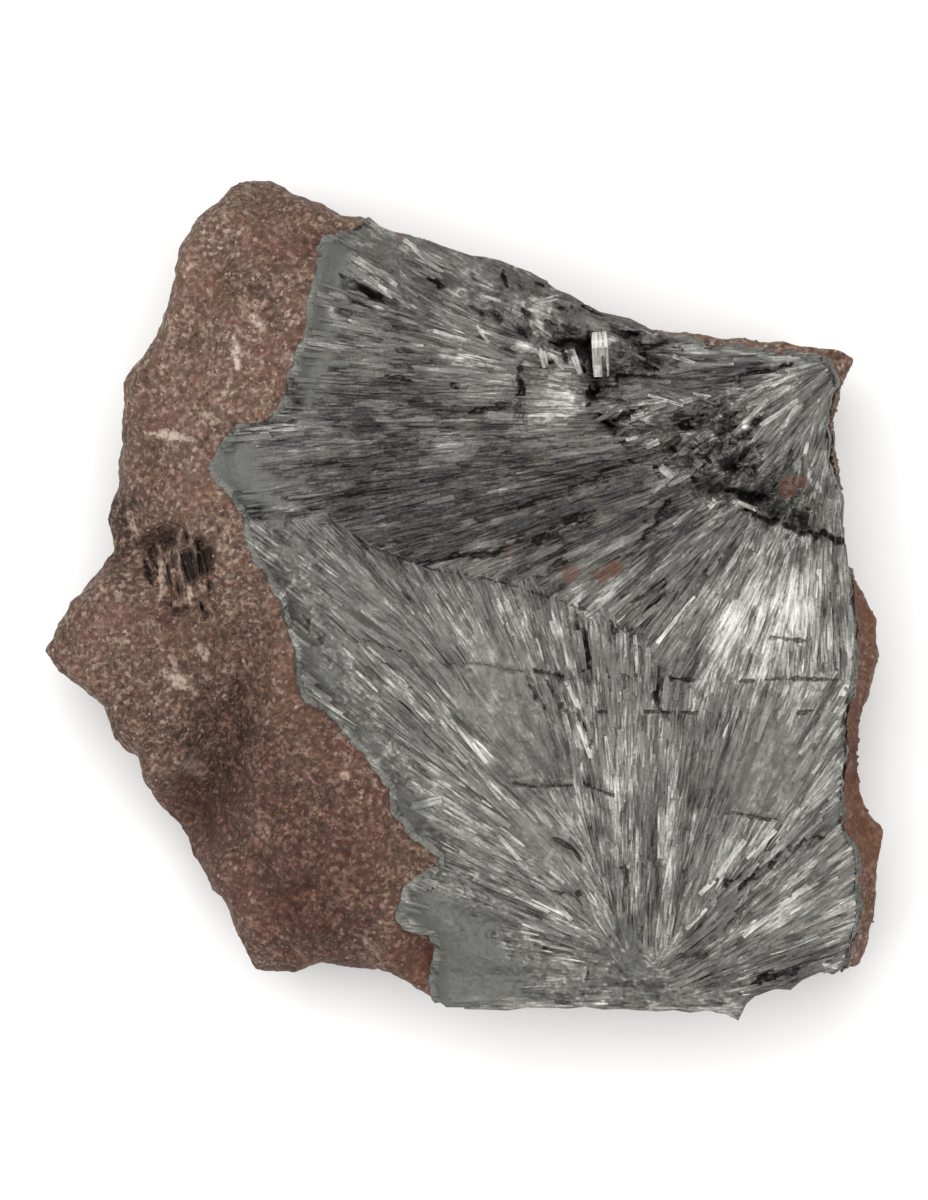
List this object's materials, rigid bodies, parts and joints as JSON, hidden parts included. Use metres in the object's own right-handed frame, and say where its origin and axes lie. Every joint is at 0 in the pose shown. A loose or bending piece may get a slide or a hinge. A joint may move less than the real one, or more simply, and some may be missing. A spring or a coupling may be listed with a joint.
{
  "type": "raw pyrolusite specimen",
  "caption": "Hand specimen of raw pyrolusite: radiating sprays of steel-grey blades grown on sandy red-brown rock, lying on its broken back.",
  "frame": {"origin": "middle of the underside: the centre of the plan at the level of the flat broken back", "axes": "+Z out of the crystal face, +X across the face from the bare rock to the crystals, +Y up the face"},
  "size_m": [0.0845, 0.0843, 0.0263],
  "materials": {
    "sandy_rock": "rough, sandy, red-brown, with pale and dark grains",
    "pyrolusite": "steel-grey metallic fibres with bright streaks and black hollows"
  },
  "bodies": {
    "root": {"host_rock": "sandy_rock", "pyrolusite_sprays": "pyrolusite"}
  },
  "joints": []
}
